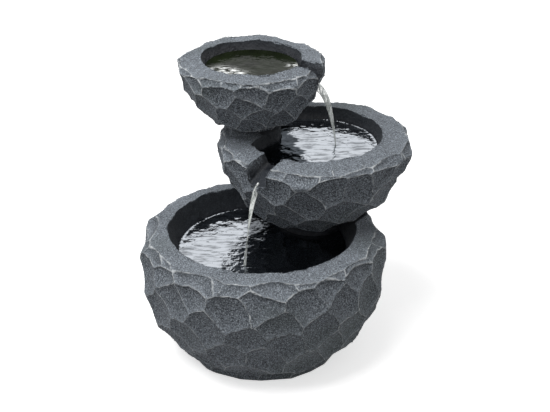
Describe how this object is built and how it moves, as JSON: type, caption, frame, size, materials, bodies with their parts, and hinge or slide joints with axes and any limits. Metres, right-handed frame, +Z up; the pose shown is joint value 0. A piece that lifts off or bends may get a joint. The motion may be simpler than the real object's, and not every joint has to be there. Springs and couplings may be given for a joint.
{
  "type": "solar garden fountain",
  "caption": "Cascading garden fountain of stacked chiselled stone-effect bowls with pouring spouts and a hidden submersible pump.",
  "frame": {"origin": "on the lower bowl's own upright axis, in the plane of the base plate that stands on the ground", "axes": "+Z up, -Y towards the viewer of the picture, +X to the viewer's right"},
  "size_m": [0.453, 0.459, 0.472],
  "materials": {
    "stone_resin": "matt dark grey stone-effect resin, hollow cast, chiselled and dry-brushed",
    "black_plate": "matt",
    "stainless_steel": "bright",
    "pump_plastic": "fine texture",
    "fitting_plastic": "smooth",
    "rotor_plastic": "smooth",
    "filter_foam": "open-cell foam",
    "white_ceramic": "polished",
    "clear_hose": "soft clear vinyl",
    "black_rubber": "matt"
  },
  "bodies": {
    "root": {"lower_bowl": "stone_resin", "pump_housing": "stone_resin", "base_plate": "black_plate", "base_screw_1": "stainless_steel", "base_screw_2": "stainless_steel", "base_screw_3": "stainless_steel", "base_screw_4": "stainless_steel", "deck_fitting": "fitting_plastic", "deck_washer": "black_rubber", "deck_nut": "fitting_plastic", "lead_gland": "black_rubber", "pump_body": "pump_plastic", "volute_seal": "black_rubber", "volute_cover": "pump_plastic", "rotor_shaft": "white_ceramic", "shaft_bush_back": "white_ceramic", "shaft_bush_front": "white_ceramic", "suction_cup_1": "black_rubber", "suction_cup_2": "black_rubber", "suction_cup_3": "black_rubber", "suction_cup_4": "black_rubber", "riser_hose": "clear_hose", "riser_clip_lower": "stainless_steel", "riser_clip_upper": "stainless_steel"},
    "grille": {"intake_grille": "pump_plastic"},
    "rotor": {"impeller": "rotor_plastic"},
    "strainer": {"strainer_cover": "pump_plastic", "foam_filter": "filter_foam"},
    "dial": {"flow_dial": "fitting_plastic"},
    "middle": {"middle_bowl": "stone_resin", "middle_plate": "black_plate", "middle_screw_1": "stainless_steel", "middle_screw_2": "stainless_steel", "middle_screw_3": "stainless_steel", "middle_inlet": "fitting_plastic", "middle_inlet_seal": "black_rubber", "transfer_hose": "clear_hose", "transfer_clip_lower": "stainless_steel", "transfer_clip_upper": "stainless_steel", "shoulder_fitting": "fitting_plastic", "shoulder_washer": "black_rubber", "shoulder_nut": "fitting_plastic"},
    "top": {"top_bowl": "stone_resin", "top_plate": "black_plate", "top_screw_1": "stainless_steel", "top_screw_2": "stainless_steel", "top_screw_3": "stainless_steel", "top_inlet": "fitting_plastic", "top_inlet_seal": "black_rubber", "top_hose": "clear_hose", "top_clip_lower": "stainless_steel", "top_clip_upper": "stainless_steel", "outlet_fitting": "fitting_plastic", "outlet_washer": "black_rubber", "outlet_nut": "fitting_plastic"}
  },
  "joints": [
    {"name": "middle_bowl_lift", "type": "slide", "parent": "root", "child": "middle", "axis": [0, 0, 1], "range_m": [0, 0.08]},
    {"name": "top_bowl_lift", "type": "slide", "parent": "middle", "child": "top", "axis": [0, 0, 1], "range_m": [0, 0.08]},
    {"name": "grille_lift", "type": "slide", "parent": "root", "child": "grille", "axis": [0, 0, 1], "range_m": [0, 0.05]},
    {"name": "strainer_pull", "type": "slide", "parent": "root", "child": "strainer", "axis": [-0.6887, -0.725, 0], "range_m": [0, 0.024]},
    {"name": "dial_turn", "type": "hinge", "parent": "strainer", "child": "dial", "pos_m": [0.0853, 0.0898, 0.0733], "axis": [0.6887, 0.725, 0], "range_deg": [0, 90]},
    {"name": "impeller_spin", "type": "hinge", "parent": "root", "child": "rotor", "pos_m": [0.0853, 0.0898, 0.0733], "axis": [0.6887, 0.725, 0], "continuous": true}
  ]
}
